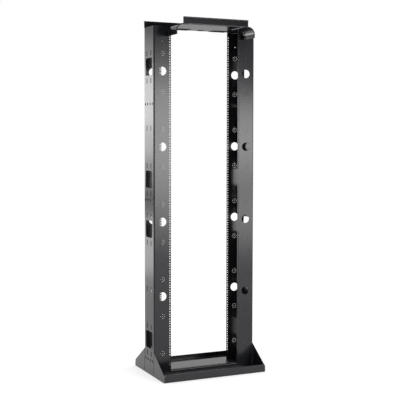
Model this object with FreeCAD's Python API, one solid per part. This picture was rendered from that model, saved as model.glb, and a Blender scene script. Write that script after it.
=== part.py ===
# Two post open frame rack with an overhead cable trough and a folded steel base.
# Millimetres, +Z up, front towards -Y, origin on the floor under the middle of the rack.

import FreeCAD, Part
import math
import os

from FreeCAD import Vector

# Overall size of the rack
RACK_HEIGHT = 2133.6
RACK_WIDTH = 673.1
POST_DEPTH = 165.1
BASE_DEPTH = 514.35

# Rack mounting geometry
CLEAR_OPENING = 450.0
HOLE_COLUMN_SPACING = 465.1
RACK_UNIT = 44.45
UNIT_HOLE_HEIGHTS = (6.35, 22.225, 38.1)
FIRST_UNIT_BOTTOM = 62.25
LAST_UNIT_MARGIN = 20.0
RACK_UNITS = int((RACK_HEIGHT - FIRST_UNIT_BOTTOM - LAST_UNIT_MARGIN) / RACK_UNIT)
RACK_HOLE_DIAMETER = 7.1
SQUARE_HOLE_SIDE = 6.3
ROUND_HOLE_UNITS = (4, RACK_UNITS - 2)
EQUIPMENT_EAR_HOLES = (0, 2)

# Posts, folded from one sheet each
POST_SHEET = 2.7
POST_BEND = 4.3
HOLE_GROUP_DROP = 12.3
HOLE_GROUP_CENTRE = RACK_HEIGHT / 2 - HOLE_GROUP_DROP
CABLE_HOLE_DIAMETER = 52.4
CABLE_HOLE_PITCH = 457.2
CABLE_HOLES = 4
CABLE_HOLE_SHIFT = 123.6
WINDOW_HEIGHT = 106.0
WINDOW_DEPTH = 112.0
WINDOW_CORNER = 14.0
WINDOW_END_DISTANCE = 228.6
WINDOW_OFFSETS = (152.4, RACK_HEIGHT / 2 - WINDOW_END_DISTANCE)
GANG_HOLE_SIDE = 12.7
GANG_HOLE_OFFSETS = (22.0, 60.0)
GANG_ROW_HEIGHTS = (88.0, 1078.6, 1667.0)

# Base trays and gussets
BASE_SHEET = 3.4
BASE_BEND = 3.4
FRONT_LIP_HEIGHT = 49.0
REAR_LIP_HEIGHT = 35.0
LIP_CORNER = 8.0
TRAY_GAP = 2.0
GUSSET_HEIGHT = 149.0
GUSSET_END_HEIGHT = 40.0
ANCHOR_HOLE_DIAMETER = 17.5
ANCHOR_SPACING_X = 571.5
ANCHOR_SPACING_Y = 393.7

# Cross member of the base, between the posts
CROSS_HEIGHT = 33.0
CROSS_SIDE_GAP = 0.5
CROSS_PLATE_SHEET = 1.6
CROSS_PLATE_SETBACK = 16.5
CROSS_PLATE_OVERHANG = 11.0

# Angles that join the posts to the base and to the trough
CLIP_SHEET = 3.4
CLIP_BEND = 3.4
CLIP_MARGIN = 17.8
CLIP_WIDTH = (RACK_WIDTH - CLEAR_OPENING) / 2 - 2 * CLIP_MARGIN
BASE_CLIP_HEIGHT = 105.0
BASE_CLIP_FOOT = 48.0
TOP_CLIP_HEIGHT = 60.0
TOP_CLIP_SHELF = 50.0

# Cable trough on top of the posts
TROUGH_SHEET = 1.9
TROUGH_BEND = 3.0
TROUGH_OVERHANG = 168.0
TROUGH_WALL_HEIGHT = 44.0
REAR_LIP = 12.0
FRONT_LIP = 6.0
FRONT_WALL_INSET = 123.5
FRONT_WALL_WIDTH = RACK_WIDTH - 2 * FRONT_WALL_INSET

# Waterfalls at the ends of the overhanging part of the trough
WATERFALL_REACH = 38.0
WATERFALL_DROP = 61.0
WATERFALL_TAB = 34.0
WATERFALL_RIM = 5.0

HALF_WIDTH = RACK_WIDTH / 2
HALF_POST = POST_DEPTH / 2
HALF_BASE = BASE_DEPTH / 2
HALF_OPENING = CLEAR_OPENING / 2
COLUMN_X = HOLE_COLUMN_SPACING / 2
FLANGE_MIDDLE = (HALF_WIDTH + HALF_OPENING) / 2
POST_FOOT = BASE_SHEET
CUT_MARGIN = 5.0


def in_xy(u, v):
    return Vector(u, v, 0)


def in_yz(u, v):
    return Vector(0, u, v)


def in_xz(u, v):
    return Vector(u, 0, v)


def offset_path(points, distance):
    """The open path moved to its left by distance, with its corners kept sharp."""
    normals = []
    for start, end in zip(points, points[1:]):
        along = (end - start).normalize()
        normals.append(Vector(-along.y, along.x, 0))
    moved = [points[0] + normals[0] * distance]
    for point, before, after in zip(points[1:], normals, normals[1:]):
        moved.append(point + (before + after) * (distance / (1 + before.dot(after))))
    moved.append(points[-1] + normals[-1] * distance)
    return moved


def rounded_path(points, radii):
    """Straight and arc edges along an open path, one radius for each inner corner."""
    edges = []
    start = points[0]
    for before, corner, after, radius in zip(points, points[1:], points[2:], radii):
        back = (before - corner).normalize()
        ahead = (after - corner).normalize()
        half_angle = back.getAngle(ahead) / 2
        run = radius / math.tan(half_angle)
        bisector = (back + ahead).normalize()
        centre = corner + bisector * (radius / math.sin(half_angle))
        arc_start = corner + back * run
        arc_end = corner + ahead * run
        edges.append(Part.makeLine(start, arc_start))
        edges.append(Part.Arc(arc_start, centre - bisector * radius, arc_end).toShape())
        start = arc_end
    edges.append(Part.makeLine(start, points[-1]))
    return edges


def folded_sheet(path, thickness, bend, place, sweep):
    """A sheet folded along path, which is its right-hand face, and pushed along sweep.

    bend is the inside radius of every fold, and place turns plane points into space.
    """
    flat = [Vector(u, v, 0) for u, v in path]
    other = offset_path(flat, thickness)
    near_radii = []
    far_radii = []
    for before, corner, after in zip(flat, flat[1:], flat[2:]):
        turns_left = (corner - before).cross(after - corner).z > 0
        near_radii.append(bend + thickness if turns_left else bend)
        far_radii.append(bend if turns_left else bend + thickness)
    edges = rounded_path(flat, near_radii) + rounded_path(other, far_radii)
    edges.append(Part.makeLine(flat[0], other[0]))
    edges.append(Part.makeLine(flat[-1], other[-1]))
    face = Part.Face(Part.Wire(Part.__sortEdges__(edges)))
    origin = place(0, 0)
    across = place(1, 0) - origin
    up = place(0, 1) - origin
    face.transformShape(plane_matrix(across, up))
    return face.extrude(sweep)


def plane_matrix(across, up):
    """The turn that takes the flat X and Y directions to across and up."""
    normal = across.cross(up)
    return FreeCAD.Matrix(
        across.x, up.x, normal.x, 0,
        across.y, up.y, normal.y, 0,
        across.z, up.z, normal.z, 0,
        0, 0, 0, 1,
    )


def box_between(low, high):
    return Part.makeBox(high.x - low.x, high.y - low.y, high.z - low.z, low)


def mirrored_x(shape):
    return shape.mirror(Vector(0, 0, 0), Vector(1, 0, 0))


def mirrored_y(shape):
    return shape.mirror(Vector(0, 0, 0), Vector(0, 1, 0))


def hole_heights():
    """Every rack hole as (unit, place in the unit, height)."""
    for unit in range(RACK_UNITS):
        bottom = FIRST_UNIT_BOTTOM + unit * RACK_UNIT
        for index, rise in enumerate(UNIT_HOLE_HEIGHTS):
            yield unit, index, bottom + rise


def flange_cutter(x, z, y, size, is_round):
    """A short tool that cuts one hole through the flange at y."""
    length = 2 * CUT_MARGIN
    if is_round:
        start = Vector(x, y - CUT_MARGIN, z)
        return Part.makeCylinder(size / 2, length, start, Vector(0, 1, 0))
    corner = Vector(x - size / 2, y - CUT_MARGIN, z - size / 2)
    return Part.makeBox(size, length, size, corner)


def rack_hole_cutters(x):
    """The front flange's mounting holes, true round ones at the ears of three units."""
    cutters = []
    for unit, index, height in hole_heights():
        is_round = unit in ROUND_HOLE_UNITS and index in EQUIPMENT_EAR_HOLES
        size = RACK_HOLE_DIAMETER if is_round else SQUARE_HOLE_SIDE
        cutters.append(flange_cutter(x, height, -HALF_POST, size, is_round))
    return cutters


def cable_hole_heights():
    """Centres of the round cable holes, spaced about the middle of the hole group."""
    lowest = HOLE_GROUP_CENTRE + CABLE_HOLE_SHIFT - (CABLE_HOLES - 1) / 2 * CABLE_HOLE_PITCH
    return [lowest + step * CABLE_HOLE_PITCH for step in range(CABLE_HOLES)]


def cable_hole_cutters(x):
    length = POST_DEPTH + 2 * CUT_MARGIN
    cutters = []
    for height in cable_hole_heights():
        start = Vector(x, -length / 2, height)
        cutters.append(Part.makeCylinder(CABLE_HOLE_DIAMETER / 2, length, start, Vector(0, 1, 0)))
    return cutters


def window_cutter(height):
    """A rounded window in the outer face of the left post."""
    low = Vector(-HALF_WIDTH - CUT_MARGIN, -WINDOW_DEPTH / 2, height - WINDOW_HEIGHT / 2)
    block = Part.makeBox(2 * CUT_MARGIN, WINDOW_DEPTH, WINDOW_HEIGHT, low)
    corners = [edge for edge in block.Edges if abs(edge.tangentAt(0).x) > 0.9]
    return block.makeFillet(WINDOW_CORNER, corners)


def window_heights():
    heights = []
    for offset in WINDOW_OFFSETS:
        heights += [HOLE_GROUP_CENTRE - offset, HOLE_GROUP_CENTRE + offset]
    return heights


def gang_hole_cutters():
    """Rows of four holes in the outer face, for bolting racks side by side."""
    cutters = []
    half = GANG_HOLE_SIDE / 2
    for height in GANG_ROW_HEIGHTS:
        for offset in GANG_HOLE_OFFSETS:
            for y in (-offset, offset):
                low = Vector(-HALF_WIDTH - CUT_MARGIN, y - half, height - half)
                cutters.append(Part.makeBox(2 * CUT_MARGIN, 2 * half, 2 * half, low))
    return cutters


def left_post():
    path = [
        (-HALF_OPENING, HALF_POST),
        (-HALF_WIDTH, HALF_POST),
        (-HALF_WIDTH, -HALF_POST),
        (-HALF_OPENING, -HALF_POST),
    ]
    height = RACK_HEIGHT - POST_FOOT
    channel = folded_sheet(path, POST_SHEET, POST_BEND, in_xy, Vector(0, 0, height))
    channel.translate(Vector(0, 0, POST_FOOT))
    cutters = rack_hole_cutters(-COLUMN_X)
    cutters += cable_hole_cutters(-FLANGE_MIDDLE)
    cutters += [window_cutter(height) for height in window_heights()]
    cutters += gang_hole_cutters()
    return channel.cut(Part.makeCompound(cutters))


def lip_corner_cutter(lip_height):
    """A wedge that cuts the upper corner off the left end of a tray's front lip."""
    corners = [
        (-HALF_WIDTH - CUT_MARGIN, lip_height - LIP_CORNER - CUT_MARGIN),
        (-HALF_WIDTH + LIP_CORNER + CUT_MARGIN, lip_height + CUT_MARGIN),
        (-HALF_WIDTH - CUT_MARGIN, lip_height + CUT_MARGIN),
    ]
    points = [Vector(x, -HALF_BASE - CUT_MARGIN, z) for x, z in corners]
    wedge = Part.Face(Part.makePolygon(points + points[:1]))
    return wedge.extrude(Vector(0, 2 * CUT_MARGIN + BASE_SHEET, 0))


def front_base_tray(lip_height):
    """Floor plate with its front edge folded up, under the front half of both posts."""
    path = [
        (-HALF_BASE, lip_height),
        (-HALF_BASE, 0),
        (-TRAY_GAP / 2, 0),
    ]
    sweep = Vector(RACK_WIDTH, 0, 0)
    tray = folded_sheet(path, BASE_SHEET, BASE_BEND, in_yz, sweep)
    tray.translate(Vector(-HALF_WIDTH, 0, 0))
    drills = []
    for x in (-ANCHOR_SPACING_X / 2, ANCHOR_SPACING_X / 2):
        start = Vector(x, -ANCHOR_SPACING_Y / 2, -CUT_MARGIN)
        drills.append(Part.makeCylinder(ANCHOR_HOLE_DIAMETER / 2, 4 * CUT_MARGIN, start))
    wedge = lip_corner_cutter(lip_height)
    return tray.cut(Part.makeCompound(drills + [wedge, mirrored_x(wedge)]))


def front_left_gusset():
    """Side plate that slopes from the post down to the front lip."""
    lip_face = -HALF_BASE + BASE_SHEET
    corners = [
        (-HALF_POST, BASE_SHEET),
        (-HALF_POST, GUSSET_HEIGHT),
        (lip_face, GUSSET_END_HEIGHT),
        (lip_face, BASE_SHEET + BASE_BEND),
        (lip_face + BASE_BEND, BASE_SHEET),
    ]
    points = [Vector(-HALF_WIDTH, y, z) for y, z in corners]
    outline = Part.makePolygon(points + points[:1])
    return Part.Face(outline).extrude(Vector(BASE_SHEET, 0, 0))


def base_cross_channel():
    """Channel with its open side down, across the base from one post to the other."""
    path = [
        (HALF_POST, BASE_SHEET),
        (HALF_POST, CROSS_HEIGHT),
        (-HALF_POST, CROSS_HEIGHT),
        (-HALF_POST, BASE_SHEET),
    ]
    left_end = -HALF_OPENING + CROSS_SIDE_GAP
    sweep = Vector(-2 * left_end, 0, 0)
    channel = folded_sheet(path, BASE_SHEET, BASE_BEND, in_yz, sweep)
    channel.translate(Vector(left_end, 0, 0))
    return channel


def base_cross_plate():
    """Flat cover on the cross channel, set back from its front edge."""
    end = HALF_OPENING - CROSS_SIDE_GAP
    low = Vector(-end, -HALF_POST + CROSS_PLATE_SETBACK, CROSS_HEIGHT)
    high = Vector(end, HALF_POST + CROSS_PLATE_OVERHANG, CROSS_HEIGHT + CROSS_PLATE_SHEET)
    return box_between(low, high)


def front_left_base_clip():
    """Angle inside the post's foot, on the tray and against the front flange."""
    back = -HALF_POST + POST_SHEET
    path = [
        (back, BASE_SHEET + BASE_CLIP_HEIGHT),
        (back, BASE_SHEET),
        (back + BASE_CLIP_FOOT, BASE_SHEET),
    ]
    sweep = Vector(CLIP_WIDTH, 0, 0)
    clip = folded_sheet(path, CLIP_SHEET, CLIP_BEND, in_yz, sweep)
    clip.translate(Vector(-FLANGE_MIDDLE - CLIP_WIDTH / 2, 0, 0))
    return clip


def left_top_clip():
    """Angle inside the post's top, against the outer face and under the trough."""
    face = -HALF_WIDTH + POST_SHEET
    path = [
        (face + TOP_CLIP_SHELF, RACK_HEIGHT),
        (face, RACK_HEIGHT),
        (face, RACK_HEIGHT - TOP_CLIP_HEIGHT),
    ]
    clip = folded_sheet(path, CLIP_SHEET, CLIP_BEND, in_xz, Vector(0, CLIP_WIDTH, 0))
    clip.translate(Vector(0, -CLIP_WIDTH / 2, 0))
    return clip


def trough_pan():
    """Trough floor with the rear wall, the front wall and their lips, from one sheet."""
    front = -HALF_POST - TROUGH_OVERHANG
    shelf = RACK_HEIGHT + TROUGH_WALL_HEIGHT - TROUGH_SHEET
    path = [
        (front - FRONT_LIP, shelf),
        (front, shelf),
        (front, RACK_HEIGHT),
        (HALF_POST, RACK_HEIGHT),
        (HALF_POST, shelf),
        (HALF_POST + REAR_LIP, shelf),
    ]
    sweep = Vector(RACK_WIDTH, 0, 0)
    pan = folded_sheet(path, TROUGH_SHEET, TROUGH_BEND, in_yz, sweep)
    pan.translate(Vector(-HALF_WIDTH, 0, 0))
    top = RACK_HEIGHT + TROUGH_WALL_HEIGHT + CUT_MARGIN
    low = Vector(-HALF_WIDTH - CUT_MARGIN, front - FRONT_LIP - CUT_MARGIN, RACK_HEIGHT - CUT_MARGIN)
    corner = box_between(low, Vector(-FRONT_WALL_WIDTH / 2, -HALF_POST, top))
    return pan.cut(corner).cut(mirrored_x(corner))


def waterfall_path(outward):
    """The waterfall's inner face, moved outward, from the tab to the lower edge."""
    start = FRONT_WALL_WIDTH / 2
    radius = WATERFALL_REACH + outward
    centre = Vector(start, 0, RACK_HEIGHT - TROUGH_SHEET - WATERFALL_REACH)
    top = centre + Vector(0, 0, radius)
    side = centre + Vector(radius, 0, 0)
    middle = centre + Vector(radius, 0, radius) * math.sqrt(0.5)
    middle = centre + (middle - centre).normalize() * radius
    foot = Vector(side.x, 0, RACK_HEIGHT - WATERFALL_DROP)
    return top, middle, side, foot


def waterfall_band(inner, outer, tab, width):
    """The band between two offsets of the waterfall's face, pushed back by width."""
    top_in, middle_in, side_in, foot_in = waterfall_path(inner)
    top_out, middle_out, side_out, foot_out = waterfall_path(outer)
    tab_in = top_in - Vector(tab, 0, 0)
    tab_out = top_out - Vector(tab, 0, 0)
    edges = [
        Part.Arc(top_in, middle_in, side_in).toShape(),
        Part.makeLine(side_in, foot_in),
        Part.makeLine(foot_in, foot_out),
        Part.makeLine(foot_out, side_out),
        Part.Arc(side_out, middle_out, top_out).toShape(),
    ]
    if tab > 0:
        edges.append(Part.makeLine(top_out, tab_out))
        edges.append(Part.makeLine(tab_in, top_in))
    edges.append(Part.makeLine(tab_out, tab_in))
    face = Part.Face(Part.Wire(Part.__sortEdges__(edges)))
    return face.extrude(Vector(0, width, 0))


def right_waterfall():
    """Curved sheet that carries cables over the end of the trough, with a front rim."""
    sheet = waterfall_band(0, TROUGH_SHEET, WATERFALL_TAB, TROUGH_OVERHANG)
    rim = waterfall_band(TROUGH_SHEET, TROUGH_SHEET + WATERFALL_RIM, 0, TROUGH_SHEET)
    waterfall = sheet.fuse(rim).removeSplitter()
    waterfall.translate(Vector(0, -HALF_POST - TROUGH_OVERHANG, 0))
    return waterfall


def build():
    post = left_post()
    rear_tray = mirrored_y(front_base_tray(REAR_LIP_HEIGHT))
    gusset = front_left_gusset()
    base_clip = front_left_base_clip()
    top_clip = left_top_clip()
    waterfall = right_waterfall()
    return {
        "left_post": post,
        "right_post": mirrored_x(post),
        "front_base_tray": front_base_tray(FRONT_LIP_HEIGHT),
        "rear_base_tray": rear_tray,
        "front_left_gusset": gusset,
        "front_right_gusset": mirrored_x(gusset),
        "rear_left_gusset": mirrored_y(gusset),
        "rear_right_gusset": mirrored_x(mirrored_y(gusset)),
        "base_cross_channel": base_cross_channel(),
        "base_cross_plate": base_cross_plate(),
        "front_left_base_clip": base_clip,
        "front_right_base_clip": mirrored_x(base_clip),
        "rear_left_base_clip": mirrored_y(base_clip),
        "rear_right_base_clip": mirrored_x(mirrored_y(base_clip)),
        "left_top_clip": top_clip,
        "right_top_clip": mirrored_x(top_clip),
        "trough_pan": trough_pan(),
        "left_waterfall": mirrored_x(waterfall),
        "right_waterfall": waterfall,
    }


def main():
    os.makedirs("parts", exist_ok=True)
    for name, shape in build().items():
        if len(shape.Solids) == 1:
            shape = shape.Solids[0]
        shape.exportStep(os.path.join("parts", name + ".step"))


main()
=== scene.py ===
# %% [markdown]
# An open rack for network equipment, in black powder-coated steel.
#
# Two tall folded posts carry the equipment. They stand on a folded base with gussets
# and hold a cable trough on their tops. The solid model gives every sheet its size
# and place. This lesson adds what the solids leave out: all the small punched holes,
# the screws, three thin dark sheets of painted shade under the trough and the finish.
# Then it lights the rack like a catalogue picture.

# %% The solid model
import math

import bpy
import numpy as np
from mathutils import Matrix, Vector
from mathutils.geometry import delaunay_2d_cdt


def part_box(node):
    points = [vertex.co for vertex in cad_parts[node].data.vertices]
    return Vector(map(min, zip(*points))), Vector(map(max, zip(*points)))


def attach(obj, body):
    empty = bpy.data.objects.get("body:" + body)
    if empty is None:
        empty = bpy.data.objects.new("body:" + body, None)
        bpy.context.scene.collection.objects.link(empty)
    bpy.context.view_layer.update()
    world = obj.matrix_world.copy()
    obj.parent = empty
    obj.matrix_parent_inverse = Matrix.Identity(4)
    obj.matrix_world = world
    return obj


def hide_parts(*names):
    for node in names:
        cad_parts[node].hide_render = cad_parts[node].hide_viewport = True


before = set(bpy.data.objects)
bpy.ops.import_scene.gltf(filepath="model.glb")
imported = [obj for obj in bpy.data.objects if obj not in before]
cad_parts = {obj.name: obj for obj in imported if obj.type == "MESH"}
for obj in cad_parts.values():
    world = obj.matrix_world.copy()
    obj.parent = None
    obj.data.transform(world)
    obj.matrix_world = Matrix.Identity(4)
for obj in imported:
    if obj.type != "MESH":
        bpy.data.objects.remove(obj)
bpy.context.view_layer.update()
MM = 0.001
print("solid model:", len(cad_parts), "nodes")

# %% [markdown]
# A pressed sheet has hundreds of holes, so its mesh starts flat. The flat sheet is
# described by two lengths: s along the folded profile and z up the post. All hole
# outlines are laid out there as arrays, the sheet between them is filled with
# triangles, and one function then folds both faces of the sheet into place. Cutting
# the holes with booleans would also work, but hundreds of cuts are slow and leave
# untidy faces.

# %% Sizes of the posts
def node_box(name):
    """The lowest and highest corner of one solid, as arrays in metres."""
    low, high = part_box(name)
    return np.array(low), np.array(high)


post_low, post_high = node_box("right_post")
SHEET = 2.7 * MM
FOLD_RADIUS = 7.0 * MM
FLANGE = post_high[0] - post_low[0] - FOLD_RADIUS
FOLD = FOLD_RADIUS * math.pi / 2
WEB = post_high[1] - post_low[1] - 2 * FOLD_RADIUS
STRIP = 2 * FLANGE + 2 * FOLD + WEB
print("flat sheet:", round(STRIP / MM, 1), "mm wide")


# %% Folding the flat sheet
def fold_post(s, z, depth):
    """Points of the right post: s runs from the front flange's free edge round the
    outer corner, over the web and back to the rear flange's free edge. On a flat part
    one coordinate grows with s. In a fold the point turns about the fold's centre by
    an angle of s over the arc's length, at the outer radius less the depth."""
    radius = FOLD_RADIUS - depth
    centre_x = post_high[0] - FOLD_RADIUS
    starts = np.cumsum([0, FLANGE, FOLD, WEB, FOLD, FLANGE])
    part = np.clip(np.searchsorted(starts, s, side="right") - 1, 0, 4)
    run = s - starts[part]
    turn = run / FOLD * math.pi / 2
    front, rear = post_low[1], post_high[1]
    x = np.select(
        [part == 0, part == 1, part == 2, part == 3, part == 4],
        [post_low[0] + run, centre_x + radius * np.sin(turn), post_high[0] - depth,
         centre_x + radius * np.cos(turn), centre_x - run],
    )
    y = np.select(
        [part == 0, part == 1, part == 2, part == 3, part == 4],
        [front + depth, front + FOLD_RADIUS - radius * np.cos(turn),
         front + FOLD_RADIUS + run, rear - FOLD_RADIUS + radius * np.sin(turn), rear - depth],
    )
    return np.stack([x, y, z], axis=-1)


# %% [markdown]
# The holes follow the standard for 19-inch equipment: groups of three in every
# 44.45 mm, at 6.35, 22.225 and 38.1 mm, in one column at each flange's free edge.
# The wide cable holes and the rings of small tie holes share the flange's middle.
# The web has rounded windows, upright slots and rows of four holes, and these repeat
# about the same middle height. Each kind of hole is one outline, copied to a list of
# centres.

# %% Hole outlines on the flat sheet
def ring(radius, sides):
    """A circle as sides points: radius times cosine and sine of equal angle steps."""
    angle = np.linspace(0, 2 * math.pi, sides, endpoint=False)
    return radius * np.stack([np.cos(angle), np.sin(angle)], axis=-1)


def rounded_rectangle(width, height, radius, steps):
    """Four quarter circles, each moved out to its corner of the rectangle."""
    angle = np.linspace(0, math.pi / 2, steps)[None, :] + np.arange(4)[:, None] * math.pi / 2
    corner = np.array([[1, 1], [-1, 1], [-1, -1], [1, -1]])
    middle = corner * (np.array([width, height]) / 2 - radius)
    arc = radius * np.stack([np.cos(angle), np.sin(angle)], axis=-1)
    return (middle[:, None, :] + arc).reshape(-1, 2)


def copies(outline, centres):
    """The outline moved to every centre, as one array of loops."""
    return outline[None, :, :] + np.asarray(centres, float)[:, None, :]


def grid(across, up):
    """Every pair of one value from across and one from up."""
    return np.stack(np.meshgrid(across, up, indexing="ij"), axis=-1).reshape(-1, 2)


# %% Where the hole columns are
UNITS = 46
UNIT = 44.45 * MM
FIRST_UNIT = 62.25 * MM
HALF_COLUMN_SPACING = 232.55 * MM
GROUP_MIDDLE = 1054.5 * MM
unit_holes = np.array([6.35, 22.225, 38.1]) * MM
rack_heights = (FIRST_UNIT + np.arange(UNITS)[:, None] * UNIT + unit_holes).ravel()
column = HALF_COLUMN_SPACING - post_low[0]
column_s = np.array([column, STRIP - column])
middle_s = (post_high[0] - post_low[0]) / 2
flange_s = np.array([middle_s, STRIP - middle_s])
print("mounting holes in one column:", len(rack_heights))

# %% The flange holes
RACK_HOLE_RADIUS = 3.55 * MM
CABLE_HOLE_RADIUS = 26.2 * MM
CABLE_HOLE_PITCH = 457.2 * MM
CABLE_HOLE_SHIFT = 123.6 * MM
TIE_HOLE_RADIUS = 1.95 * MM
TIE_RING_RADIUS = 13.3 * MM
TIE_GROUP_PITCH = 228.6 * MM
TOP_HOLE_HEIGHT = 2042.5 * MM
TOP_HOLE_RADII = (1.6 * MM, 3.2 * MM)
rack_holes = copies(ring(RACK_HOLE_RADIUS, 16), grid(column_s, rack_heights))
cable_heights = GROUP_MIDDLE + CABLE_HOLE_SHIFT + (np.arange(4) - 1.5) * CABLE_HOLE_PITCH
cable_holes = copies(ring(CABLE_HOLE_RADIUS, 56), grid(flange_s, cable_heights))
tie_places = np.concatenate([ring(TIE_RING_RADIUS, 8), np.zeros((1, 2))])
group_heights = GROUP_MIDDLE + (np.arange(9) - 4) * TIE_GROUP_PITCH
tie_centres = (grid(flange_s, group_heights)[:, None, :] + tie_places).reshape(-1, 2)
tie_holes = copies(ring(TIE_HOLE_RADIUS, 10), tie_centres)
top_holes = np.concatenate([
    copies(ring(radius, 14), [(s, TOP_HOLE_HEIGHT)])
    for s, radius in zip(flange_s, TOP_HOLE_RADII)
])
print("flange holes:", len(rack_holes) + len(cable_holes) + len(tie_holes) + len(top_holes))

# %% The web holes
WINDOW_DEPTH, WINDOW_HEIGHT, WINDOW_CORNER = 112 * MM, 106 * MM, 14 * MM
SLOT_WIDTH, SLOT_HEIGHT, SLOT_CORNER = 11 * MM, 32 * MM, 3.2 * MM
SLOT_SPREAD = 33.5 * MM
SLOT_REPEAT = 990.6 * MM
GANG_HOLE_RADIUS = 8.2 * MM
web_middle = STRIP / 2
window_heights = GROUP_MIDDLE + np.array([-838.2, -152.4, 152.4, 838.2]) * MM
windows = copies(
    rounded_rectangle(WINDOW_DEPTH, WINDOW_HEIGHT, WINDOW_CORNER, 8),
    grid([web_middle], window_heights),
)
lower_slots = np.array([131.0, 299.0, 529.0, 816.5, 984.0]) * MM
slot_heights = np.concatenate([lower_slots, lower_slots + SLOT_REPEAT])
slots = copies(
    rounded_rectangle(SLOT_WIDTH, SLOT_HEIGHT, SLOT_CORNER, 5),
    grid(web_middle + np.array([-SLOT_SPREAD, SLOT_SPREAD]), slot_heights),
)
gang_places = web_middle + np.array([-60, -22, 22, 60]) * MM
gang_heights = np.array([91.0, 1080.0, 1667.0]) * MM
gang_holes = copies(ring(GANG_HOLE_RADIUS, 20), grid(gang_places, gang_heights))
hole_groups = [rack_holes, cable_holes, tie_holes, top_holes, windows, slots, gang_holes]
print("holes in one post:", sum(len(group) for group in hole_groups))


# %% [markdown]
# A constrained Delaunay fill keeps every outline and fold line as an edge. A triangle
# that lies inside a hole belongs to two outlines, so it is dropped. Edges used by one
# triangle alone are the rims of the sheet and of its holes, and each of them becomes
# a narrow wall between the two faces.

# %% Filling the flat sheet
INSIDE_ONLY = 1
SAME_POINT = 1e-7


def fill_flat(corners, loops, lines):
    """Triangles between the outer corners and the loops, as points and index rows."""
    points = [np.asarray(corners, float)] + [loop for group in loops for loop in group]
    starts = np.cumsum([0] + [len(loop) for loop in points])
    outlines = [list(range(a, b)) for a, b in zip(starts[:-1], starts[1:])]
    line_points = np.array(lines, float).reshape(-1, 2)
    first = starts[-1]
    edges = [(first + 2 * k, first + 2 * k + 1) for k in range(len(lines))]
    flat = np.concatenate(points + [line_points])
    found = delaunay_2d_cdt([Vector(p) for p in flat], edges, outlines,
                              INSIDE_ONLY, SAME_POINT)
    keep = [face for face, inside in zip(found[2], found[5]) if len(inside) == 1]
    return np.array([p[:] for p in found[0]], float), np.array(keep)


# %% Giving the sheet its thickness
def thick_sheet(flat, triangles, fold, thickness):
    """Both faces of the sheet and the walls along its rims. A rim edge is one whose
    reverse no triangle uses, found by giving each directed edge one whole number."""
    count = len(flat)
    outer = fold(flat[:, 0], flat[:, 1], 0.0)
    inner = fold(flat[:, 0], flat[:, 1], thickness)
    directed = np.concatenate([triangles[:, [0, 1]], triangles[:, [1, 2]], triangles[:, [2, 0]]])
    key = directed[:, 0] * count + directed[:, 1]
    reverse = directed[:, 1] * count + directed[:, 0]
    rim = directed[~np.isin(key, reverse)]
    a, b = rim[:, 0], rim[:, 1]
    walls = np.stack([a, a + count, b + count, b], axis=-1)
    faces = triangles.tolist() + (triangles[:, ::-1] + count).tolist() + walls.tolist()
    return np.concatenate([outer, inner]), faces


# %% From arrays to a piece
def new_piece(name, points, faces, soft_angle=30):
    """A mesh object with smooth folds: edges sharper than soft_angle stay crisp."""
    mesh = bpy.data.meshes.new(name)
    mesh.from_pydata(np.asarray(points).tolist(), [], [list(face) for face in faces])
    mesh.validate()
    mesh.polygons.foreach_set("use_smooth", np.ones(len(mesh.polygons), bool))
    mesh.set_sharp_from_angle(angle=math.radians(soft_angle))
    piece = bpy.data.objects.new(name, mesh)
    bpy.context.scene.collection.objects.link(piece)
    weighted = piece.modifiers.new("even shading", "WEIGHTED_NORMAL")
    weighted.keep_sharp = True
    weighted.weight = 100
    return piece


# %% [markdown]
# The left post is the right post seen in a mirror. Changing the sign of x turns every
# face inside out, so the order of each face's corners is turned round as well. Six
# flat strips make each fold, and the smooth shading hides their edges.

# %% The two posts
FOLD_STEPS = 6
fold_starts = np.array([FLANGE, FLANGE + FOLD + WEB])
fold_lines_s = (fold_starts[:, None] + np.linspace(0, FOLD, FOLD_STEPS + 1)).ravel()
bottom, top = post_low[2], post_high[2]
corners = [(0, bottom), (STRIP, bottom), (STRIP, top), (0, top)]
fold_lines = [[(s, bottom), (s, top)] for s in fold_lines_s]
flat_points, flat_triangles = fill_flat(corners, hole_groups, fold_lines)
post_points, post_faces = thick_sheet(flat_points, flat_triangles, fold_post, SHEET)

right_post = new_piece("right_post_sheet", post_points, post_faces)
left_points = post_points * np.array([-1, 1, 1])
left_post = new_piece("left_post_sheet", left_points, [face[::-1] for face in post_faces])
for side, piece in (("left", left_post), ("right", right_post)):
    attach(piece, "root")
    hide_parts(side + "_post")
print("triangles in the two faces of one post:", 2 * len(flat_triangles))


# %% [markdown]
# Screws hold the foot angles inside the posts: one through each rear flange, and two
# down into the base by each post. They are button heads with a hexagon socket, drawn
# round because it is a few millimetres wide. A head is a profile turned about its
# axis: the radius and height of each ring are two short arrays. The Spin tool makes
# the same shape by hand; arrays make one head and copy it to every place.

# %% Button head screws
def turned(profile, sides):
    """Rings of points: each profile row gives a ring's radius and its height."""
    radius, height = np.asarray(profile, float).T
    angle = np.linspace(0, 2 * math.pi, sides, endpoint=False)
    rings = np.stack(
        [radius[:, None] * np.cos(angle), radius[:, None] * np.sin(angle),
         np.broadcast_to(height[:, None], (len(radius), sides))], axis=-1)
    return rings.reshape(-1, 3)


def ring_faces(rows, sides):
    """Four-sided faces between neighbouring rings, and a cap at each end."""
    row, step = np.meshgrid(np.arange(rows - 1), np.arange(sides), indexing="ij")
    after = (step + 1) % sides
    quads = np.stack([row * sides + step, row * sides + after,
                      (row + 1) * sides + after, (row + 1) * sides + step], axis=-1)
    return quads.reshape(-1, 4).tolist() + [
        list(range(sides))[::-1], list(range((rows - 1) * sides, rows * sides))]


HEAD_SIDES = 18
DOME_ANGLE = 1.1
DOME_RISE = 0.62


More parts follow.
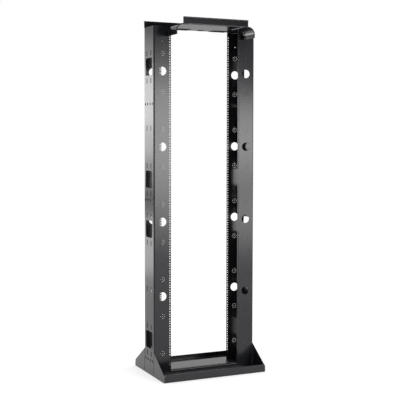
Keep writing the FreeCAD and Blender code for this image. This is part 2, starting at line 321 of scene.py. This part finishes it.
def screw_head(diameter):
    """A low dome with a socket: the rings climb the dome and go down the socket. The
    dome is a squashed circle: radius by cosine, height by sine of the same angle."""
    r = diameter / 2
    turn = np.linspace(0, DOME_ANGLE, 5)
    dome = np.stack([r * np.cos(turn), DOME_RISE * r * np.sin(turn)], axis=-1)
    socket = np.array([[0.42, 0.55], [0.38, 0.2]]) * r
    skirt = np.array([[1.0, -0.1]]) * r
    profile = np.concatenate([skirt, dome, socket])
    return turned(profile, HEAD_SIDES), ring_faces(len(profile), HEAD_SIDES)


# %% Placing the screws
def axes_to(normal):
    """Three rows that turn the head's own axes so that its top looks along normal."""
    normal = np.asarray(normal, float)
    side = np.cross(normal, [0.0, 0.0, 1.0] if abs(normal[2]) < 0.5 else [0.0, 1.0, 0.0])
    side = side / np.linalg.norm(side)
    return np.stack([side, np.cross(normal, side), normal])


def screws(name, places, normal, diameter):
    """One piece that holds a screw at every place, all looking along normal."""
    head, faces = screw_head(diameter)
    turned_head = head @ axes_to(normal)
    points = (np.asarray(places, float)[:, None, :] + turned_head).reshape(-1, 3)
    every = [[index + k * len(head) for index in face] for k in range(len(places)) for face in faces]
    piece = new_piece(name, points, every, soft_angle=40)
    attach(piece, "root")
    return piece


HEAD_DIAMETER = 14 * MM
FLANGE_SCREW_HEIGHT = 70 * MM
CLIP_SHEET = 3.4 * MM
SCREW_TO_EDGE = 16 * MM
clip_low, clip_high = node_box("front_right_base_clip")
clip_x = (clip_low[0] + clip_high[0]) / 2
rear_y = post_high[1]
foot_y = clip_high[1] - SCREW_TO_EDGE
foot_z = clip_low[2] + CLIP_SHEET
flange_places = [(x, rear_y, FLANGE_SCREW_HEIGHT) for x in (-clip_x, clip_x)]
tray_places = [(x, y, foot_z) for x in (-clip_x, clip_x) for y in (-foot_y, foot_y)]
screw_pieces = [
    screws("rear_foot_screws", flange_places, (0, 1, 0), HEAD_DIAMETER),
    screws("tray_screws", tray_places, (0, 0, 1), HEAD_DIAMETER),
]
print("screws:", len(flange_places) + len(tray_places))


# %% [markdown]
# Three thin dark sheets hang under the trough, near its rear edge. They are painted
# shade: they stand for three dark bars of shade under the trough and are not real parts.
# Each has round corners: its outline is used twice, at the sheet's top and underside, and
# the two loops are joined by a row of four-sided faces. A cube with a bevel would do
# as well, but the rounded outline is already there from the windows of the posts.

# %% Painted shade under the trough
SHADE_SHEET_THICKNESS = 1.2 * MM
SHADE_SHEET_CORNER = 4 * MM


def thin_shade_sheet(centre, size, top, thickness):
    """Points and faces of a flat sheet of painted shade that hangs below the height top."""
    outline = rounded_rectangle(size[0], size[1], SHADE_SHEET_CORNER, 5) + np.asarray(centre)
    count = len(outline)
    heights = np.repeat([top - thickness, top], count)[:, None]
    points = np.hstack([np.tile(outline, (2, 1)), heights])
    step = np.arange(count)
    after = (step + 1) % count
    walls = np.stack([step, after, after + count, step + count], axis=-1).tolist()
    return points, walls + [step[::-1].tolist(), (step + count).tolist()]


# Painted shade: each row places one dark sheet where the trough's underside lies in shade
# Each row has a name, then the middle in x and y, the width and the depth, in mm
shade_sheet_rows = [("left", -96, 42, 78, 76), ("middle", 25, 47, 34, 34), ("right", 148, 45, 106, 72)]
trough_underside = post_high[2]
shade_sheets = []
for side, x, y, width, depth in shade_sheet_rows:
    centre, size = (x * MM, y * MM), (width * MM, depth * MM)
    points, faces = thin_shade_sheet(centre, size, trough_underside, SHADE_SHEET_THICKNESS)
    shade_sheet = new_piece(side + "_trough_painted_shade", points, faces)
    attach(shade_sheet, "root")
    shade_sheets.append(shade_sheet)
print("rubber pads:", len(shade_sheets))


# %% [markdown]
# Materials are built from nodes. Two helpers are enough: one turns an sRGB colour, as
# a paint chart gives it, into the linear numbers that Blender counts in, and one adds
# a node of any kind with its settings, its numbers and its links.

# %% Colours and nodes
def colour(text):
    """An sRGB hex colour as linear red, green, blue and a full alpha."""
    value = np.array([int(text[k:k + 2], 16) for k in (1, 3, 5)]) / 255
    linear = np.where(value <= 0.04045, value / 12.92, ((value + 0.055) / 1.055) ** 2.4)
    return (*linear.tolist(), 1.0)


def add_node(tree, kind, links=(), numbers=(), **settings):
    """A node with its settings. Links are pairs of an input and another node's output,
    and numbers are pairs of an input and a plain value."""
    node = tree.nodes.new(kind)
    for key, value in settings.items():
        setattr(node, key, value)
    for socket, value in numbers:
        node.inputs[socket].default_value = value
    for socket, source in links:
        tree.links.new(source, node.inputs[socket])
    return node


RANGE = ("From Min", "From Max", "To Min", "To Max")

# %% [markdown]
# The finish is a polyester powder coat: a black resin skin, baked on, with a satin
# sheen and the faint ripple that makers call orange peel. It is not a metal to the
# eye, so metallic stays at 0 and the IOR is that of resin. The ripple is about 2 mm
# from crest to crest, and a slower change of gloss keeps wide faces from looking cast
# in plastic.

# %% Black powder coat
RESIN_IOR = 1.5
TONE_CHANGES = 5.0
RIPPLE_SCALE = 1 / (2 * MM)
SMOOTHEST, ROUGHEST = 0.18, 0.22


def powder_coat():
    """Resin with a slow noise in tone and gloss and a fine noise as its ripple."""
    material = bpy.data.materials.new("satin_black_powder_coat")
    material.use_nodes = True
    tree = material.node_tree
    shader = tree.nodes["Principled BSDF"]
    shader.inputs["IOR"].default_value = RESIN_IOR
    place = add_node(tree, "ShaderNodeTexCoord").outputs["Object"]
    slow = add_node(tree, "ShaderNodeTexNoise", [("Vector", place)],
                    [("Scale", TONE_CHANGES), ("Detail", 3.0)])
    tone = add_node(tree, "ShaderNodeValToRGB", [("Fac", slow.outputs["Fac"])])
    dark, light = tone.color_ramp.elements
    dark.position, light.position = 0.35, 0.65
    dark.color, light.color = colour("#1d1e22"), colour("#222327")
    tree.links.new(tone.outputs["Color"], shader.inputs["Base Color"])
    gloss = add_node(tree, "ShaderNodeMapRange", [("Value", slow.outputs["Fac"])],
                     [("To Min", SMOOTHEST), ("To Max", ROUGHEST)])
    tree.links.new(gloss.outputs["Result"], shader.inputs["Roughness"])
    peel = add_node(tree, "ShaderNodeTexNoise", [("Vector", place)],
                    [("Scale", RIPPLE_SCALE), ("Detail", 2.0)])
    ripple = add_node(tree, "ShaderNodeBump", [("Height", peel.outputs["Fac"])],
                      [("Strength", 0.15), ("Distance", 0.05 * MM)])
    tree.links.new(ripple.outputs["Normal"], shader.inputs["Normal"])
    return material


coat = powder_coat()
for piece in [left_post, right_post, *screw_pieces, *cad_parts.values()]:
    piece.data.materials.clear()
    piece.data.materials.append(coat)
print("coated:", 2 + len(screw_pieces) + len(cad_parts), "pieces")

# %% [markdown]
# The sheets of painted shade are dark and almost without gloss, so that they read as
# shade and mirror nothing. A fine bump about every millimetre roughens them. Their IOR
# is lower than the coat's, and a low specular level keeps their sheen down.

# %% Matt black painted shade
SHADE_SHEET_IOR = 1.45
FINE_BUMP_SCALE = 1 / (1 * MM)


def matt_painted_shade():
    """A dark rough shader for the painted shade, with a fine noise as its bump."""
    material = bpy.data.materials.new("matt_black_painted_shade")
    material.use_nodes = True
    tree = material.node_tree
    shader = tree.nodes["Principled BSDF"]
    # Painted shade: a dark colour without gloss that stands for the shade under the trough
    shader.inputs["Base Color"].default_value = colour("#1a1a1b")
    shader.inputs["IOR"].default_value = SHADE_SHEET_IOR
    shader.inputs["Roughness"].default_value = 0.85
    shader.inputs["Specular IOR Level"].default_value = 0.2
    place = add_node(tree, "ShaderNodeTexCoord").outputs["Object"]
    fine_noise = add_node(tree, "ShaderNodeTexNoise", [("Vector", place)],
                       [("Scale", FINE_BUMP_SCALE), ("Detail", 1.0)])
    bump = add_node(tree, "ShaderNodeBump", [("Height", fine_noise.outputs["Fac"])],
                    [("Strength", 0.3), ("Distance", 0.1 * MM)])
    tree.links.new(bump.outputs["Normal"], shader.inputs["Normal"])
    return material


painted_shade_material = matt_painted_shade()
for shade_sheet in shade_sheets:
    shade_sheet.data.materials.append(painted_shade_material)
print("rubber on:", len(shade_sheets), "shade_sheets")

# %% [markdown]
# A satin black face shows little colour of its own: its greys are mirror images of
# what stands round it. So the camera sees a white floor and a white surround, while
# the coat mirrors a darker studio. There the floor glows near the rack and fades with
# distance, except on the left, where a dark corner keeps the folds of the posts dark.

# %% Light of the floor
FLOOR_LIFT = 0.55
GLOW_FADE = (0.7, 4.5, 0.5, 0.0)
CORNER_DARK, CORNER_LIT = -1.2, -0.6
REAR_DARK, REAR_LIT = 0.6, 1.2


def floor_light(tree):
    """The floor's own light: FLOOR_LIFT for the camera, and for mirrors a glow that
    falls with the distance from the rack, times 0 in the dark left corner."""
    path = add_node(tree, "ShaderNodeLightPath")
    place = add_node(tree, "ShaderNodeTexCoord").outputs["Object"]
    seen = add_node(tree, "ShaderNodeMath", [(0, path.outputs["Is Camera Ray"])],
                    [(1, FLOOR_LIFT)], operation="MULTIPLY")
    reach = add_node(tree, "ShaderNodeVectorMath", [("Vector", place)], operation="LENGTH")
    pool = add_node(tree, "ShaderNodeMapRange", [("Value", reach.outputs["Value"])],
                    zip(RANGE, GLOW_FADE))
    parts = add_node(tree, "ShaderNodeSeparateXYZ", [("Vector", place)])
    right = add_node(tree, "ShaderNodeMapRange", [("Value", parts.outputs["X"])],
                     [("From Min", CORNER_DARK), ("From Max", CORNER_LIT)])
    behind = add_node(tree, "ShaderNodeMapRange", [("Value", parts.outputs["Y"])],
                      [("From Min", REAR_DARK), ("From Max", REAR_LIT)])
    lit = add_node(tree, "ShaderNodeMath",
                   [(0, right.outputs["Result"]), (1, behind.outputs["Result"])],
                   operation="MAXIMUM")
    glow = add_node(tree, "ShaderNodeMath",
                    [(0, pool.outputs["Result"]), (1, lit.outputs[0])], operation="MULTIPLY")
    mirrored = add_node(tree, "ShaderNodeMath",
                        [(0, path.outputs["Is Glossy Ray"]), (1, glow.outputs[0])],
                        operation="MULTIPLY")
    return add_node(tree, "ShaderNodeMath", [(0, seen.outputs[0]), (1, mirrored.outputs[0])],
                    operation="MAXIMUM").outputs[0]


# %% Floor
FLOOR_HALF = 14.0


def studio_floor():
    """One large square at height 0, nearly white and without gloss."""
    mesh = bpy.data.meshes.new("studio_floor")
    corners = [(-FLOOR_HALF, -FLOOR_HALF, 0), (FLOOR_HALF, -FLOOR_HALF, 0),
               (FLOOR_HALF, FLOOR_HALF, 0), (-FLOOR_HALF, FLOOR_HALF, 0)]
    mesh.from_pydata(corners, [], [(0, 1, 2, 3)])
    floor = bpy.data.objects.new("studio_floor", mesh)
    bpy.context.scene.collection.objects.link(floor)
    material = bpy.data.materials.new("pale_studio_floor")
    material.use_nodes = True
    tree = material.node_tree
    shader = tree.nodes["Principled BSDF"]
    shader.inputs["Base Color"].default_value = colour("#f4f4f4")
    shader.inputs["Roughness"].default_value = 0.9
    shader.inputs["Specular IOR Level"].default_value = 0.0
    shader.inputs["Emission Color"].default_value = colour("#ffffff")
    tree.links.new(floor_light(tree), shader.inputs["Emission Strength"])
    mesh.materials.append(material)


studio_floor()
print("floor:", 2 * FLOOR_HALF, "m square")

# %% [markdown]
# The world is the surround. It is white where the camera looks past the rack. Glossy
# rays find a bright band behind the rack, just above the floor, and a dim ceiling in
# front. Diffuse rays get a little even light, so that the shadows stay soft. Each
# part is a strength worked out from the ray's direction: Y is 1 straight to the rear,
# and Z is 1 straight up.

# %% Heights in the surround
BAND_FOOT = (0.05, 0.16, 0.0, 0.85)
BAND_TOP = (0.33, 0.45, 1.0, 0.1)
SKIRTING = (0.0, 0.02, 0.6, 0.0)
FRONT_CEILING = (0.3, 0.8, 0.0, 0.4)
world = bpy.data.worlds.new("white_room")
bpy.context.scene.world = world
world.use_nodes = True
tree = world.node_tree
surround = tree.nodes["Background"]
surround.inputs["Color"].default_value = colour("#ffffff")
path = add_node(tree, "ShaderNodeLightPath")
way = add_node(tree, "ShaderNodeTexCoord")
parts = add_node(tree, "ShaderNodeSeparateXYZ", [("Vector", way.outputs["Generated"])])

# Each height range turns the direction's Z into a strength
foot, band_top, skirting, ceiling = [
    add_node(tree, "ShaderNodeMapRange", [("Value", parts.outputs["Z"])],
             zip(RANGE, row)).outputs["Result"]
    for row in (BAND_FOOT, BAND_TOP, SKIRTING, FRONT_CEILING)
]

# %% Strength of the surround
REAR_EDGE = 0.55
EVEN_LIGHT = 0.53
rear = add_node(tree, "ShaderNodeMath", [(0, parts.outputs["Y"])], [(1, REAR_EDGE)],
                operation="GREATER_THAN").outputs[0]
front = add_node(tree, "ShaderNodeMath", [(1, rear)], [(0, 1.0)], operation="SUBTRACT").outputs[0]
even = add_node(tree, "ShaderNodeMath", [(0, path.outputs["Is Diffuse Ray"])],
                [(1, EVEN_LIGHT)], operation="MULTIPLY").outputs[0]
band = add_node(tree, "ShaderNodeMath", [(0, foot), (1, band_top)],
                operation="MULTIPLY").outputs[0]
wall = add_node(tree, "ShaderNodeMath", [(0, band), (1, skirting)], operation="ADD").outputs[0]
behind = add_node(tree, "ShaderNodeMath", [(0, rear), (1, wall)],
                  operation="MULTIPLY").outputs[0]
ahead = add_node(tree, "ShaderNodeMath", [(0, front), (1, ceiling)],
                 operation="MULTIPLY").outputs[0]
room = add_node(tree, "ShaderNodeMath", [(0, behind), (1, ahead)], operation="ADD").outputs[0]
mirrored = add_node(tree, "ShaderNodeMath", [(0, room), (1, path.outputs["Is Glossy Ray"])],
                    operation="MULTIPLY").outputs[0]
seen = add_node(tree, "ShaderNodeMath", [(0, mirrored), (1, path.outputs["Is Camera Ray"])],
                operation="MAXIMUM").outputs[0]
strength = add_node(tree, "ShaderNodeMath", [(0, seen), (1, even)], operation="MAXIMUM")
tree.links.new(strength.outputs[0], surround.inputs["Strength"])
print("nodes in the surround:", len(tree.nodes))

# %% [markdown]
# Soft rectangular lamps stand where the flat faces mirror them. A front flange seen
# by the camera mirrors what stands to the front right, and the left post's outer
# face what stands behind on the left. Low parts of a post mirror low lamps and high
# parts high ones, so each panel is a column of lamps, each with its own power. One
# lamp in front would be simpler, but it would leave the outer face black.

# %% Lamp panels
def soft_lamp(name, place, target, width, height, power):
    """A rectangular area lamp at place that looks at target."""
    data = bpy.data.lights.new(name, "AREA")
    data.shape = "RECTANGLE"
    data.size = width
    data.size_y = height
    data.energy = power
    lamp = bpy.data.objects.new(name, data)
    lamp.location = place
    aim = Vector(target) - Vector(place)
    lamp.rotation_euler = aim.to_track_quat("-Z", "Y").to_euler()
    bpy.context.scene.collection.objects.link(lamp)


FRONT_ANGLE = math.radians(23.5)
FRONT_DISTANCE, REAR_DISTANCE = 4.5, 3.9
FRONT_WIDTH, REAR_WIDTH = 0.95, 1.6
PANEL_SHIFT, TARGET_SHIFT = 0.5, 0.15
front_aim = np.array([math.sin(FRONT_ANGLE), -math.cos(FRONT_ANGLE)])
front_side = np.array([front_aim[1], -front_aim[0]])
rear_aim = np.array([-0.347, 0.938])
left_face = np.array([-0.34, 0.0])
front_middle = front_aim * FRONT_DISTANCE
front_left = (front_middle + front_side * PANEL_SHIFT, front_side * TARGET_SHIFT, FRONT_WIDTH)
front_right = (front_middle - front_side * PANEL_SHIFT, -front_side * TARGET_SHIFT, FRONT_WIDTH)
rear_left = (left_face + rear_aim * REAR_DISTANCE, left_face, REAR_WIDTH)

# Each row has the panel, then the lamp's middle height and its own height in metres,
# and its power in watts
lamp_rows = [
    ("front_left_low", front_left, 0.65, 0.5, 6.8),
    ("front_left_tall", front_left, 1.5, 1.2, 31.0),
    ("front_left_top", front_left, 2.2, 0.4, 2.0),
    ("front_right_low", front_right, 0.6, 0.6, 8.7),
    ("front_right_middle", front_right, 1.45, 0.8, 18.5),
    ("rear_low", rear_left, 0.35, 0.6, 5.8),
    ("rear_waist", rear_left, 1.1, 0.3, 1.7),
    ("rear_middle", rear_left, 1.4, 0.3, 3.7),
    ("rear_high", rear_left, 1.85, 0.6, 11.8),
    ("rear_top", rear_left, 2.3, 0.3, 1.5),
]
for name, (place, target, width), height, tall, power in lamp_rows:
    soft_lamp(name, (*place, height), (*target, height), width, tall, power)
print("lamps:", len(lamp_rows))

# %% [markdown]
# The camera stands to the front left at eye height, far enough away for a calm
# perspective, and looks slightly down. Its place, angles and lens are those at which
# the rack's corners fall where a catalogue picture has them. The lens shift moves the
# rack sideways in the square picture without turning the camera, so that the posts
# stay upright. The denoiser's prefilter smears holes that are a pixel wide into grey
# bars. Without it they stay apart.

# %% Camera
EYE = Vector((-2.4039, -5.5797, 1.4822))
YAW, PITCH, ROLL = 0.45935, 0.05315, 0.00409
FOCAL_PIXELS = 967.6
CENTRE_PIXELS = (250.4, 186.2)
PICTURE = 400
SENSOR = 36
look = Vector((math.sin(YAW) * math.cos(PITCH), math.cos(YAW) * math.cos(PITCH), -math.sin(PITCH)))
side = Vector((math.cos(YAW), -math.sin(YAW), 0))
upward = side.cross(look)
turn = Matrix((side, upward, -look)).transposed() @ Matrix.Rotation(ROLL, 3, "Z")
camera_data = bpy.data.cameras.new("catalogue_camera")
camera_data.sensor_width = SENSOR
camera_data.sensor_fit = "HORIZONTAL"
camera_data.lens = FOCAL_PIXELS * SENSOR / PICTURE
camera_data.shift_x = (PICTURE / 2 - CENTRE_PIXELS[0]) / PICTURE
camera_data.shift_y = (CENTRE_PIXELS[1] - PICTURE / 2) / PICTURE
camera = bpy.data.objects.new("catalogue_camera", camera_data)
camera.matrix_world = Matrix.Translation(EYE) @ turn.to_4x4()
scene = bpy.context.scene
scene.collection.objects.link(camera)
scene.camera = camera
scene.view_settings.view_transform = "Standard"
scene.cycles.denoising_prefilter = "NONE"
print("lens:", round(camera_data.lens, 1), "mm")

# %% [markdown]
# The dressed rack has to keep the solid model's size. The last step brings the
# places of all pieces up to date.

# %% Bringing the scene up to date
bpy.context.view_layer.update()
